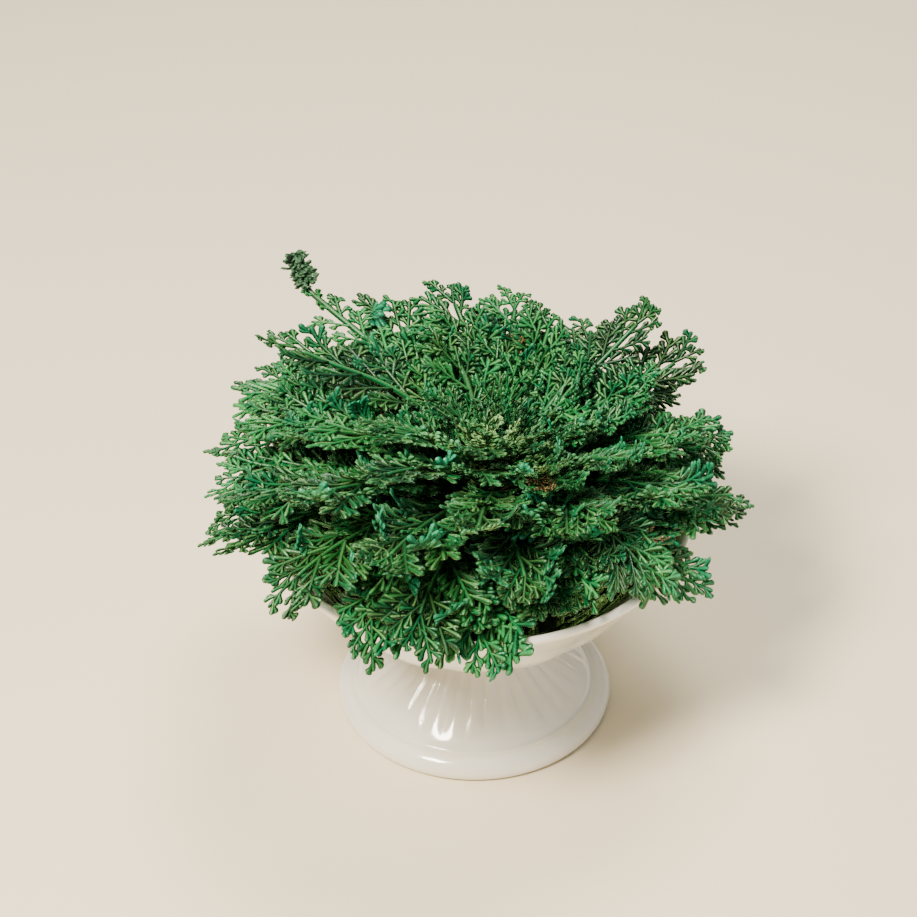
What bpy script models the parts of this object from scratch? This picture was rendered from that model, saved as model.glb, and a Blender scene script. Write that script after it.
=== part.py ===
"""Rose of jericho, open and green, standing in a white glazed bowl on a fluted foot.

Units are metres, +Z is up. The bowl, the water and the root crown are turned shapes. Every frond is a
thin blade that lies on its own surface of revolution, and those surfaces nest inside one another from
the lowest, outermost frond to the innermost one, so no two fronds cross.
"""
import math

import bpy
import numpy as np

MM = 0.001

# Bowl: radius and height in millimetres, down the outer side from the lip to the foot ring
BOWL_OUTSIDE = (
    (81.0, 90.3), (79.5, 87.5), (67.5, 72.0), (60.0, 61.0), (47.0, 49.5), (33.0, 42.0), (22.5, 38.0),
    (20.5, 33.5), (24.0, 28.0), (31.0, 21.5), (39.0, 15.5), (44.8, 10.8), (46.0, 8.4), (49.0, 9.2),
    (52.6, 6.5), (53.5, 3.0), (52.0, 0.0),
)
# The inner side, up from the middle of the floor to the lip
BOWL_INSIDE = (
    (0.0, 46.5), (30.0, 46.5), (44.0, 53.0), (56.5, 64.0), (63.5, 74.5), (77.0, 90.3), (79.0, 91.5),
)
# The shallow recess inside the foot ring
UNDERSIDE = ((45.0, 0.0), (44.0, 2.5), (0.0, 2.5))
WALL = 4.5 * MM
FLUTES = 32
FLUTE_DEPTH = 0.6 * MM
FLUTE_BAND = (12.0 * MM, 30.0 * MM)
RIBS = 16
RIB_DEPTH = 0.5 * MM
RIB_BAND = (42.0 * MM, 86.0 * MM)
BAND_FADE = 5.0 * MM

# Water and root crown
GAP = 0.35 * MM
CROWN_RADIUS = 13.0 * MM
CROWN_HEIGHT = 90.0 * MM
ROOT_BALL_RADIUS = 17.5 * MM
ROOT_RIDGES = 8
ROOT_RIDGE = 0.9 * MM
HOLE_RADIUS = 20.5 * MM

# Fronds, from the outermost (0) to the innermost (1)
FROND_COUNT = 57
STAGE_POWER = 1.5
GOLDEN_ANGLE = math.radians(137.508)
BLADE = 0.8 * MM
STEM_HALF = 1.1 * MM
LEAFLET_PITCH = 11.5 * MM
ROOT_SHARE = 0.36
LEAFLET_ANGLE = math.radians(46.0)
FORK_ANGLE = math.radians(9.0)
LOBE = 0.97
NOTCH = 0.72
STAGE = (0.0, 0.2, 0.4, 0.6, 0.8, 1.0)
START_ANGLE = (24.0, 30.0, 38.0, 48.0, 62.0, 84.0)
END_ANGLE = (-28.0, -18.0, -8.0, 0.0, 8.0, 40.0)
FROND_LENGTH = (93.0, 92.0, 88.0, 80.0, 59.0, 27.0)
LEAFLET_LENGTH = (26.0, 26.0, 24.0, 21.0, 17.0, 9.0)
BARE_STEM = (0.19, 0.19, 0.18, 0.16, 0.12, 0.08)
CROWN_SPREAD = math.radians(74.0)

# Fronds that stand out of the canopy: how much longer, how far the tip rises, a turn in degrees,
# and the size of their leaflets
STRAYS = {
    2: (0.95, -3.0 * MM, -4.0, 1.0),
    5: (1.07, -7.0 * MM, -1.0, 1.0),
    7: (0.92, -3.0 * MM, 3.0, 1.0),
    10: (0.88, -1.0 * MM, 0.0, 1.0),
    12: (0.98, 5.0 * MM, -5.0, 1.0),
    15: (0.94, -3.0 * MM, -5.0, 1.0),
    18: (1.08, -9.0 * MM, 0.0, 1.0),
    20: (1.06, -6.0 * MM, 0.0, 1.0),
    27: (1.02, 8.0 * MM, 0.0, 1.0),
    29: (1.12, 14.0 * MM, 0.0, 1.0),
    35: (1.12, 26.0 * MM, -3.5, 0.6),
    37: (1.16, 11.0 * MM, -4.0, 1.0),
    43: (1.28, 10.0 * MM, 2.0, 1.0),
}
TIP_RISE = 3.0 * MM       # of every other frond, up or down
TIP_FROM = 0.6            # share of the length where the rise starts
SPREAD_STEPS = (0.7548776662, 0.5698402910)

# The inner fronds lean, those in front are steeper, and slow waves run round the canopy.
# A wave is how many times it runs round, how large it is and where it starts.
PLANT_OFFSET = (-1.0 * MM, 0.0)
LEAN = (0.45, 0.30)
LEAN_REACH = 0.6
CANOPY_RADIUS = 90.0 * MM
SWELLS = ((1, 0.046, -0.86), (3, 0.035, 0.7), (5, 0.025, 2.0))
LIFTS = ((1, 1.6 * MM, 0.0), (3, 1.5 * MM, 2.4), (4, 2.0 * MM, -1.57))
STEEPNESS = 0.18
STEEPER = ((1, -0.12, 0.0), (2, 0.10, -1.57))


def clear_scene():
    for old in list(bpy.data.objects):
        bpy.data.objects.remove(old, do_unlink=True)


def glossy_material(name, colour, roughness, transmission=0.0):
    material = bpy.data.materials.new(name)
    material.use_nodes = True
    shader = material.node_tree.nodes["Principled BSDF"]
    shader.inputs["Base Color"].default_value = (*colour, 1.0)
    shader.inputs["Roughness"].default_value = roughness
    shader.inputs["Metallic"].default_value = 0.0
    shader.inputs["Transmission Weight"].default_value = transmission
    return material


def add_object(name, mesh, material, collection):
    mesh.materials.clear()
    mesh.materials.append(material)
    made = bpy.data.objects.new(name, mesh)
    collection.objects.link(made)
    return made


def turned(name, profile, steps, closed=False):
    """Turn a profile of (radius, height) points round +Z and return the mesh.

    The profile runs down the outer side, so the faces point outwards.
    """
    edges = [(k, k + 1) for k in range(len(profile) - 1)]
    if closed:
        edges.append((len(profile) - 1, 0))
    line = bpy.data.meshes.new(name + "_profile")
    line.from_pydata([(radius, 0.0, height) for radius, height in profile], edges, [])
    blank = bpy.data.objects.new(name + "_profile", line)
    bpy.context.scene.collection.objects.link(blank)
    screw = blank.modifiers.new("turn", "SCREW")
    screw.steps = steps
    screw.render_steps = steps
    screw.use_merge_vertices = True
    screw.merge_threshold = 0.00001
    evaluated = blank.evaluated_get(bpy.context.evaluated_depsgraph_get())
    mesh = bpy.data.meshes.new_from_object(evaluated)
    mesh.name = name
    bpy.data.objects.remove(blank, do_unlink=True)
    return mesh


def vertices_of(mesh):
    flat = np.empty(len(mesh.vertices) * 3)
    mesh.vertices.foreach_get("co", flat)
    return flat.reshape(-1, 3)


def set_vertices(mesh, points):
    mesh.vertices.foreach_set("co", np.asarray(points, dtype=float).ravel())
    mesh.update()


def push_out(points, amount):
    """Move points straight away from the Z axis by an amount for each."""
    radius = np.hypot(points[:, 0], points[:, 1])
    scale = np.where(radius > MM, 1.0 + amount / np.maximum(radius, MM), 1.0)
    moved = points.copy()
    moved[:, 0] *= scale
    moved[:, 1] *= scale
    return moved


def in_metres(profile):
    return [(radius * MM, height * MM) for radius, height in profile]


def band(height, low_high):
    """One inside a band of heights, fading to nothing at its two ends."""
    low, high = low_high
    return np.clip((height - low) / BAND_FADE, 0.0, 1.0) * np.clip((high - height) / BAND_FADE, 0.0, 1.0)


def make_bowl(collection):
    """Bowl and foot in one fired piece, with flutes on the foot and wide faint ribs on the bowl."""
    mesh = turned("bowl", in_metres(BOWL_INSIDE + BOWL_OUTSIDE + UNDERSIDE), 2 * FLUTES)
    points = vertices_of(mesh)
    radius = np.hypot(points[:, 0], points[:, 1])
    angle = np.arctan2(points[:, 1], points[:, 0])
    height = points[:, 2]
    side = sorted((z, r) for r, z in in_metres(BOWL_OUTSIDE))
    outer_radius = np.interp(height, [z for z, r in side], [r for z, r in side])
    on_outside = radius > outer_radius - 0.4 * WALL
    flutes = FLUTE_DEPTH * band(height, FLUTE_BAND) * np.cos(FLUTES * angle)
    ribs = RIB_DEPTH * band(height, RIB_BAND) * np.cos(RIBS * angle)
    set_vertices(mesh, push_out(points, np.where(on_outside, flutes + ribs, 0.0)))
    glaze = glossy_material("white_glaze", (0.86, 0.84, 0.78), 0.12)
    mesh.shade_smooth()
    mesh.set_sharp_from_angle(angle=math.radians(40.0))
    return add_object("bowl", mesh, glaze, collection)


def make_water(collection):
    """A pool that follows the bowl's inside, with a plain round hole for the crown."""
    floor, *wall, shore = in_metres(BOWL_INSIDE[1:5])
    bed = [(radius - GAP, height + GAP) for radius, height in (floor, *wall)]
    edge = (shore[0] - 2.0 * GAP, shore[1])
    hole = [(HOLE_RADIUS, floor[1] + GAP), (HOLE_RADIUS, shore[1])]
    mesh = turned("water", hole + [edge] + bed[::-1], FLUTES, closed=True)
    points = vertices_of(mesh)
    at_hole = np.hypot(points[:, 0], points[:, 1]) < HOLE_RADIUS + GAP
    points[at_hole, 0] += PLANT_OFFSET[0]
    set_vertices(mesh, points)
    water = glossy_material("water", (0.85, 0.92, 0.90), 0.03, transmission=1.0)
    return add_object("water", mesh, water, collection)


def slow_waves(angle, waves):
    return sum(size * np.sin(count * angle + start) for count, size, start in waves)


def uneven_canopy(points):
    """Lean the plant and make its canopy uneven, by a smooth change that keeps fronds apart."""
    x, y, z = points[:, 0], points[:, 1], points[:, 2]
    angle = np.arctan2(y, x)
    reach = np.hypot(x, y) / CANOPY_RADIUS
    above = np.clip(z - CROWN_HEIGHT, 0.0, None)
    inner = above * np.exp(-(reach / LEAN_REACH) ** 2)
    swell = 1.0 + reach * slow_waves(angle, SWELLS)
    steeper = reach * (STEEPNESS + slow_waves(angle, STEEPER))
    lift = reach ** 2 * slow_waves(angle, LIFTS)
    return np.column_stack((
        PLANT_OFFSET[0] + x * swell + LEAN[0] * inner,
        PLANT_OFFSET[1] + y * swell + LEAN[1] * inner,
        z + above * steeper + lift,
    ))


def make_crown(collection):
    """The dome that the fronds grow from, with a ridged ball of roots under it."""
    dome = [
        (CROWN_RADIUS * math.sin(turn), CROWN_HEIGHT + CROWN_RADIUS * math.cos(turn))
        for turn in np.radians((0.0, 22.5, 45.0, 67.5, 90.0))
    ]
    bottom = BOWL_INSIDE[0][1] * MM + GAP
    ball = [
        (0.94 * CROWN_RADIUS, CROWN_HEIGHT - 5.5 * MM),
        (0.9 * ROOT_BALL_RADIUS, bottom + 15.0 * MM),
        (ROOT_BALL_RADIUS, bottom + 8.0 * MM),
        (0.82 * ROOT_BALL_RADIUS, bottom + 1.5 * MM),
        (0.66 * ROOT_BALL_RADIUS, bottom),
        (0.0, bottom),
    ]
    mesh = turned("root_crown", dome + ball, 3 * ROOT_RIDGES)
    points = vertices_of(mesh)
    angle = np.arctan2(points[:, 1], points[:, 0])
    depth = (CROWN_HEIGHT - points[:, 2]) / (CROWN_HEIGHT - bottom)
    band = np.clip(4.0 * depth, 0.0, 1.0) * (points[:, 2] > bottom + 0.5 * MM)
    ridges = ROOT_RIDGE * band * np.cos(ROOT_RIDGES * angle + 3.0 * depth)
    points = push_out(points, ridges)
    moved = uneven_canopy(points)
    moved[:, 2] = np.maximum(moved[:, 2], bottom)
    set_vertices(mesh, moved)
    bark = glossy_material("root_bark", (0.16, 0.09, 0.045), 0.85)
    return add_object("root_crown", mesh, bark, collection)


def spread(index, stream):
    """An evenly spread number from -1 to 1 for a frond and a purpose."""
    return 2.0 * ((0.5 + index * SPREAD_STEPS[0] + stream * SPREAD_STEPS[1]) % 1.0) - 1.0


def frond_plan(index):
    """What one frond is: its stage from outer to inner, its direction, lengths and the rise of its tip."""
    stage = ((index + 0.5) / FROND_COUNT) ** STAGE_POWER
    stretch, rise, turn, fullness = STRAYS.get(index, (1.0, TIP_RISE * spread(index, 4), 0.0, 1.0))
    leaflet = MM * np.interp(stage, STAGE, LEAFLET_LENGTH) * fullness
    return {
        "stage": stage,
        "direction": index * GOLDEN_ANGLE + math.radians(2.5 * spread(index, 1) + turn),
        "length": MM * np.interp(stage, STAGE, FROND_LENGTH) * (stretch + 0.06 * spread(index, 2)),
        "leaflet": leaflet * (1.0 + 0.08 * spread(index, 3)),
        "bare": np.interp(stage, STAGE, BARE_STEM),
        "rise": rise,
    }


def rib_point(stage, along):
    """Radius and height on the rib's arc, whose slope turns evenly from its start to its end."""
    seat = CROWN_SPREAD * stage
    start = np.radians(np.interp(stage, STAGE, START_ANGLE))
    end = np.radians(np.interp(stage, STAGE, END_ANGLE))
    full = MM * np.interp(stage, STAGE, FROND_LENGTH)
    turn = (end - start) * along / full
    chord = along * np.sinc(turn / (2.0 * np.pi))
    middle = start + 0.5 * turn
    foot = CROWN_RADIUS + GAP
    radius = foot * np.cos(seat) + chord * np.cos(middle)
    height = CROWN_HEIGHT + foot * np.sin(seat) + chord * np.sin(middle)
    return radius, height


def lay_on_surface(plan, flat):
    """Lay flat points (along the rib, across it) on the frond's surface of revolution."""
    along, across = flat[:, 0], flat[:, 1]
    radius, height = rib_point(plan["stage"], along)
    angle = plan["direction"] + across / radius
    tip = np.clip(along / plan["length"] - TIP_FROM, 0.0, None) / (1.0 - TIP_FROM)
    height = height + plan["rise"] * tip ** 2
    return uneven_canopy(np.column_stack((radius * np.cos(angle), radius * np.sin(angle), height)))


def leaflet_size(place):
    """Share of the longest leaflet, from the first pair (0) to the frond's tip (1)."""
    return np.interp(place, (0.0, 0.35, 0.7, 1.0), (0.62, 1.0, 0.9, 0.5))


def frond_outline(plan):
    """Flat points, triangles and outline of a frond: a rib with fan-shaped leaflets on both sides.

    Each leaflet is cut to the rib, shares the rib's own edge points and ends in a fork.
    """
    length, leaflet = plan["length"], plan["leaflet"]
    first = plan["bare"] * length
    bladed = length - first - 0.35 * leaflet
    pairs = max(3, round(bladed / LEAFLET_PITCH))
    pitch = bladed / (pairs + 0.5)
    root = ROOT_SHARE * pitch
    points, triangles, borders = [], [], []

    def add(along, across):
        points.append((along, across))
        return len(points) - 1

    rows = []
    for side in (-1, 1):
        lead = first + (0.25 + 0.25 * side) * pitch
        stations = [0.0, 0.5 * first]
        for k in range(pairs):
            stations.extend((lead + k * pitch, lead + k * pitch + root))
        rows.append([add(station, side * STEM_HALF) for station in stations])
    right, left = rows
    for k in range(len(left) - 1):
        triangles.append((right[k], right[k + 1], left[k]))
        triangles.append((right[k + 1], left[k + 1], left[k]))
    for side, row in zip((-1, 1), rows):
        border = row[:3]
        for k in range(pairs):
            behind, ahead = row[2 + 2 * k], row[3 + 2 * k]
            centre = points[behind][0] + 0.5 * root
            size = leaflet * leaflet_size((k + 0.5) / pairs)
            ends = []
            for fork, share in ((FORK_ANGLE, LOBE), (0.0, NOTCH), (-FORK_ANGLE, LOBE)):
                turn = LEAFLET_ANGLE + fork
                out = STEM_HALF + share * size * math.sin(turn)
                ends.append(add(centre + share * size * math.cos(turn), side * out))
            rear, notch, front = ends
            fan = [(behind, notch, rear), (behind, ahead, notch), (ahead, front, notch)]
            triangles.extend(fan if side > 0 else [face[::-1] for face in fan])
            border.extend([rear, notch, front, *row[3 + 2 * k:5 + 2 * k]])
        borders.append(border)
    end = 0.5 * (points[left[-1]][0] + points[right[-1]][0])
    size = leaflet * leaflet_size(1.0)
    tips = [
        add(end + share * size * math.cos(turn), share * size * math.sin(turn))
        for turn, share in ((2.0 * FORK_ANGLE, 1.0), (0.0, NOTCH), (-2.0 * FORK_ANGLE, 1.0))
    ]
    triangles.append((right[-1], tips[2], tips[1]))
    triangles.append((right[-1], tips[1], left[-1]))
    triangles.append((left[-1], tips[1], tips[0]))
    outline = borders[0] + tips[::-1] + borders[1][::-1]
    return np.array(points), np.array(triangles), outline


def thicken(points, triangles, outline, thickness):
    """Give a triangulated sheet a thickness, split alike on both faces, with a wall round its edge."""
    corner = points[triangles]
    flat = np.cross(corner[:, 1] - corner[:, 0], corner[:, 2] - corner[:, 0])
    normal = np.zeros_like(points)
    for k in range(3):
        np.add.at(normal, triangles[:, k], flat)
    normal /= np.linalg.norm(normal, axis=1)[:, None]
    count = len(points)
    both = np.vstack((points + 0.5 * thickness * normal, points - 0.5 * thickness * normal))
    under = triangles[:, ::-1] + count
    ring = np.array(outline)
    after = np.roll(ring, -1)
    wall_a = np.column_stack((ring, ring + count, after))
    wall_b = np.column_stack((after, ring + count, after + count))
    return both, np.vstack((triangles, under, wall_a, wall_b))


def make_frond(name, plan, material, collection):
    flat, triangles, outline = frond_outline(plan)
    points, faces = thicken(lay_on_surface(plan, flat), triangles, outline, BLADE)
    mesh = bpy.data.meshes.new(name)
    mesh.from_pydata(points.tolist(), [], faces.tolist())
    mesh.update()
    return add_object(name, mesh, material, collection)


def centre_on_origin(objects):
    """Put the middle of the whole part's box over the origin, and its foot on the ground."""
    corners = np.vstack([vertices_of(made.data) for made in objects])
    low, high = corners.min(axis=0), corners.max(axis=0)
    shift = np.array((-0.5 * (low[0] + high[0]), -0.5 * (low[1] + high[1]), -low[2]))
    for made in objects:
        set_vertices(made.data, vertices_of(made.data) + shift)


def main():
    clear_scene()
    collection = bpy.data.collections.new("rose_of_jericho")
    bpy.context.scene.collection.children.link(collection)
    parts = [make_bowl(collection), make_water(collection), make_crown(collection)]
    for index in range(FROND_COUNT):
        plan = frond_plan(index)
        shade = 0.85 + 0.25 * plan["stage"] + 0.08 * spread(index, 5)
        green = (0.03 * shade, 0.16 * shade, 0.06 * shade)
        name = f"frond_{index + 1:02d}"
        parts.append(make_frond(name, plan, glossy_material(name + "_green", green, 0.55), collection))
    centre_on_origin(parts)


main()
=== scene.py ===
# Rose of jericho, open and green, standing in water in a white glazed footed bowl.
# The solids of the part give the places and sizes, and this script gives them their fine form and finish.
import math

import bpy
import numpy as np
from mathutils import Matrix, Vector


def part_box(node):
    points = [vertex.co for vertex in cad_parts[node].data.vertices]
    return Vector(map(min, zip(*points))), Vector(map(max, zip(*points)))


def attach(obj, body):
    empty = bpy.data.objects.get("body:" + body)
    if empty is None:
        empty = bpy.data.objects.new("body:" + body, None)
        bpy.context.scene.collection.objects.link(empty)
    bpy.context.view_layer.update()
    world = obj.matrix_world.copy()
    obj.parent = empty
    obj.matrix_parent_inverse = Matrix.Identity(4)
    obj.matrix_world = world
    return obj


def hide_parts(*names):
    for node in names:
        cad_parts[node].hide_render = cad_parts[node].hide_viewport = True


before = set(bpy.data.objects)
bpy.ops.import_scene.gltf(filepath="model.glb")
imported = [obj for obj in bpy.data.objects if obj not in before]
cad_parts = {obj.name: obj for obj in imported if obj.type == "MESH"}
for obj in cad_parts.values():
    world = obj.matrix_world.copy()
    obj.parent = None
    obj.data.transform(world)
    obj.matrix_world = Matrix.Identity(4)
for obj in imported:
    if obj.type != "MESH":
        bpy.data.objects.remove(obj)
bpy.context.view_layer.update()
mm = 0.001

bowlLow, bowlHigh = (np.array(corner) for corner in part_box("bowl"))
bowlAxis = 0.5 * (bowlLow + bowlHigh)
bowlAxis[2] = 0.0
print("frame loaded, bowl axis at", bowlAxis[:2].round(4))


# Small tools

def linearColour(hexColour):
    # sRGB hex to linear light, by the sRGB curve
    channels = [int(hexColour[k:k + 2], 16) / 255.0 for k in (1, 3, 5)]
    return tuple(c / 12.92 if c <= 0.04045 else ((c + 0.055) / 1.055) ** 2.4 for c in channels) + (1.0,)


def addNode(tree, kind, settings=None, inputs=None):
    # adds one node, sets its values, and links every input that is given as a socket
    node = tree.nodes.new(kind)
    for name, value in (settings or {}).items():
        if name == "stops":
            ramp = node.color_ramp
            while len(ramp.elements) < len(value):
                ramp.elements.new(0.5)
            for element, (position, colour) in zip(ramp.elements, value):
                element.position = position
                element.color = linearColour(colour)
        else:
            setattr(node, name, value)
    for socket, value in (inputs or {}).items():
        if isinstance(value, bpy.types.NodeSocket):
            tree.links.new(value, node.inputs[socket])
        else:
            node.inputs[socket].default_value = value
    return node


def newMaterial(name, shaderInputs):
    # a material with one principled shader that takes these constants
    material = bpy.data.materials.new(name)
    material.use_nodes = True
    tree = material.node_tree
    shader = tree.nodes["Principled BSDF"]
    for socket, value in shaderInputs.items():
        shader.inputs[socket].default_value = value
    return material, tree, shader


def addPiece(name, points, faces, material):
    # a smooth-shaded mesh whose points are already in their place
    mesh = bpy.data.meshes.new(name)
    mesh.from_pydata(points.reshape(-1, 3).tolist(), [], faces)
    mesh.materials.append(material)
    mesh.polygons.foreach_set("use_smooth", np.ones(len(mesh.polygons), dtype=bool))
    mesh.update()
    piece = bpy.data.objects.new(name, mesh)
    bpy.context.scene.collection.objects.link(piece)
    return piece


def fitPiece(piece, slot, *nodes):
    # the whole plant and its bowl stand as one, so every piece rides on the root
    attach(piece, "root")
    if nodes:
        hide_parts(*nodes)


def triangleCount(pieces):
    return sum(len(polygon.vertices) - 2 for piece in pieces for polygon in piece.data.polygons)


def turnedGrid(profile, steps):
    # a profile of (radius, height) carried round the axis: x = r cos a, y = r sin a, z = h
    angle = np.arange(steps) * 2.0 * np.pi / steps
    radius, height = profile[:, :1], profile[:, 1:]
    return np.stack((radius * np.cos(angle), radius * np.sin(angle), height + 0.0 * angle), axis=-1)


def closedTurning(grid):
    # points and faces of a turned grid whose first and last rings have shrunk to points on the axis
    rows, steps = grid.shape[0] - 2, grid.shape[1]
    points = np.vstack((grid[1:-1].reshape(-1, 3), grid[0, :1], grid[-1, :1]))
    row, step = np.meshgrid(np.arange(rows - 1), np.arange(steps), indexing="ij")
    after = (step + 1) % steps
    quads = np.stack((row * steps + step, (row + 1) * steps + step,
                      (row + 1) * steps + after, row * steps + after), axis=-1).reshape(-1, 4)
    first, last, end = len(points) - 2, len(points) - 1, (rows - 1) * steps
    caps = [(first, k, (k + 1) % steps) for k in range(steps)]
    caps += [(last, end + (k + 1) % steps, end + k) for k in range(steps)]
    return points, quads.tolist() + caps


def cutCorners(profile, times):
    # each span keeps the points a quarter and three quarters along it; the two ends stay
    for _ in range(times):
        quarter = 0.75 * profile[:-1] + 0.25 * profile[1:]
        threeQuarters = 0.25 * profile[:-1] + 0.75 * profile[1:]
        middle = np.stack((quarter, threeQuarters), axis=1).reshape(-1, profile.shape[1])
        profile = np.vstack((profile[:1], middle[1:-1], profile[-1:]))
    return profile


# Camera, at the photograph's angle, and the plain studio

view = {
    "elevation": math.radians(36.0),
    "distance": 0.92,
    "fieldOfView": math.radians(21.0),
    "riseOfAim": 0.0169,     # the rim's middle stands this far below the picture's middle
    "shiftOfAim": -0.0061,
}


def makeCamera():
    data = bpy.data.cameras.new("camera")
    data.sensor_width = 36.0
    data.lens = 0.5 * data.sensor_width / math.tan(0.5 * view["fieldOfView"])
    data.clip_start = 0.01
    camera = bpy.data.objects.new("camera", data)
    bpy.context.scene.collection.objects.link(camera)
    tilt = view["elevation"]
    back = np.array((0.0, -math.cos(tilt), math.sin(tilt)))
    up = np.array((0.0, math.sin(tilt), math.cos(tilt)))
    aim = bowlAxis + (0.0, 0.0, bowlHigh[2]) + up * view["riseOfAim"] + (view["shiftOfAim"], 0.0, 0.0)
    camera.location = aim + back * view["distance"]
    camera.rotation_euler = (0.5 * math.pi - tilt, 0.0, 0.0)
    bpy.context.scene.camera = camera


studio = {
    "floorSize": 6.0,
    "floorColour": "#efe2c4",
    "worldColour": "#f2f5fa",
    "worldStrength": 0.26,
    "aimHeight": 0.09,
    "lights": {
        "keySoftbox": {"place": (-0.50, -0.60, 1.10), "size": 0.32, "power": 42.0, "colour": "#fff4e2"},
        "topSoftbox": {"place": (0.15, 0.45, 1.25), "size": 0.50, "power": 17.0, "colour": "#fffaf0"},
        "sideFill": {"place": (1.10, -0.45, 0.60), "size": 0.90, "power": 2.0, "colour": "#e8f0ff"},
    },
}


def makeStudio():
    # paper sweep: matt, warm white
    paper = {"Roughness": 0.9, "Base Color": linearColour(studio["floorColour"])}
    material = newMaterial("paperSweep", paper)[0]
    half = 0.5 * studio["floorSize"]
    corners = np.array(((-half, -half, 0), (half, -half, 0), (half, half, 0), (-half, half, 0)), dtype=float)
    addPiece("floor", corners, [(0, 1, 2, 3)], material)
    world = bpy.data.worlds.new("studio")
    world.use_nodes = True
    background = world.node_tree.nodes["Background"]
    background.inputs["Color"].default_value = linearColour(studio["worldColour"])
    background.inputs["Strength"].default_value = studio["worldStrength"]
    bpy.context.scene.world = world
    for name, light in studio["lights"].items():
        data = bpy.data.lights.new(name, "AREA")
        data.size = light["size"]
        data.energy = light["power"]
        data.color = linearColour(light["colour"])[:3]
        lamp = bpy.data.objects.new(name, data)
        lamp.location = light["place"]
        back = np.array(light["place"]) - (0.0, 0.0, studio["aimHeight"])
        lamp.rotation_euler = (math.acos(back[2] / np.linalg.norm(back)), 0.0, math.atan2(back[0], -back[1]))
        bpy.context.scene.collection.objects.link(lamp)
    print("camera and studio ready")


# The bowl: one fired and glazed piece

bowlForm = {
    # radius and height in millimetres, as on the solid
    "inside": ((0.0, 46.5), (30.0, 46.5), (44.0, 53.0), (56.5, 64.0), (63.5, 74.5), (77.0, 90.3),
               (79.0, 91.5)),
    "outside": ((81.0, 90.3), (79.5, 87.5), (67.5, 72.0), (60.0, 61.0), (47.0, 49.5), (33.0, 42.0),
                (22.5, 38.0), (20.5, 33.5), (24.0, 28.0), (31.0, 21.5), (39.0, 15.5), (44.8, 10.8),
                (46.0, 8.4), (49.0, 9.2), (52.6, 6.5), (53.5, 3.0), (52.0, 0.0)),
    "underside": ((45.0, 0.0), (44.0, 2.5), (0.0, 2.5)),
    "smoothing": 2,           # times that the profile's corners are cut
    "steps": 320,
    "flutes": 32,
    "fluteDepth": 0.6 * mm,
    "fluteBand": (12.0 * mm, 30.0 * mm),
    "ribs": 16,
    "ribDepth": 0.5 * mm,
    "ribBand": (42.0 * mm, 86.0 * mm),
    "fade": 5.0 * mm,
    "glaze": "#f4f1e8",
    "pooledGlaze": "#e9e4d4",
    "bareClay": "#d9cdb6",
}


def fadeBand(height, band):
    # 1 well inside the band of heights, falling evenly to 0 at both its ends
    fade = bowlForm["fade"]
    return np.clip((height - band[0]) / fade, 0, 1) * np.clip((band[1] - height) / fade, 0, 1)


def glazedStoneware():
    # stoneware under a white glossy glaze: a clear hard shine, a little wavy, warmer where the glaze pooled,
    # and dry bare clay on the ring that it stands on
    gloss = {"IOR": 1.5, "Coat Weight": 0.4, "Coat Roughness": 0.03}
    material, tree, shader = newMaterial("glazedStoneware", gloss)
    place = addNode(tree, "ShaderNodeTexCoord").outputs["Object"]
    # clouds of about 40 mm and waves of about 15 mm
    cloud = addNode(tree, "ShaderNodeTexNoise", inputs={"Vector": place, "Scale": 25.0, "Detail": 3.0})
    tone = addNode(tree, "ShaderNodeValToRGB",
                   {"stops": ((0.3, bowlForm["pooledGlaze"]), (0.6, bowlForm["glaze"]))},
                   {"Fac": cloud.outputs["Fac"]})
    height = addNode(tree, "ShaderNodeSeparateXYZ", inputs={"Vector": place}).outputs["Z"]
    glazed = addNode(tree, "ShaderNodeMapRange",
                     inputs={"Value": height, "From Min": 0.0002, "From Max": 0.0009})
    colour = addNode(tree, "ShaderNodeMix", {"data_type": "RGBA"},
                     {"Factor": glazed.outputs["Result"], "A": linearColour(bowlForm["bareClay"]),
                      "B": tone.outputs["Color"]})
    rough = addNode(tree, "ShaderNodeMapRange",
                    inputs={"Value": glazed.outputs["Result"], "To Min": 0.8, "To Max": 0.12})
    wave = addNode(tree, "ShaderNodeTexNoise", inputs={"Vector": place, "Scale": 65.0, "Detail": 2.0})
    bump = addNode(tree, "ShaderNodeBump",
                   inputs={"Strength": 0.12, "Distance": 0.002, "Height": wave.outputs["Fac"]})
    tree.links.new(colour.outputs["Result"], shader.inputs["Base Color"])
    tree.links.new(rough.outputs["Result"], shader.inputs["Roughness"])
    tree.links.new(bump.outputs["Normal"], shader.inputs["Normal"])
    return material


def makeBowl():
    # the profile with its corners cut, turned round the axis, and its outer radius + flutes on the foot
    # (crisp valleys between round flutes) + wide faint ribs on the bowl
    form = bowlForm
    profile = np.array(form["inside"] + form["outside"] + form["underside"]) * mm
    smooth = cutCorners(profile, form["smoothing"])
    grid = turnedGrid(smooth, form["steps"])
    angle = np.arange(form["steps"]) * 2.0 * np.pi / form["steps"]
    radius, height = smooth[:, :1], smooth[:, 1:]
    share = np.arange(len(smooth))[:, None] / (len(smooth) - 1)
    outside = share > len(form["inside"]) / len(profile)
    flute = 2.0 * np.abs(np.cos(0.5 * form["flutes"] * angle)) - 1.0
    relief = form["fluteDepth"] * fadeBand(height, form["fluteBand"]) * flute
    relief = relief + form["ribDepth"] * fadeBand(height, form["ribBand"]) * np.cos(form["ribs"] * angle)
    scale = np.where(outside & (radius > mm), 1.0 + relief / np.maximum(radius, mm), 1.0)
    grid[..., :2] *= scale[..., None]
    points, faces = closedTurning(grid)
    bowl = addPiece("glazedBowl", points + bowlAxis, faces, glazedStoneware())
    fitPiece(bowl, "white_glaze", "bowl")
    print("bowl made:", triangleCount([bowl]), "triangles")


# The plant: where each frond lies

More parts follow.
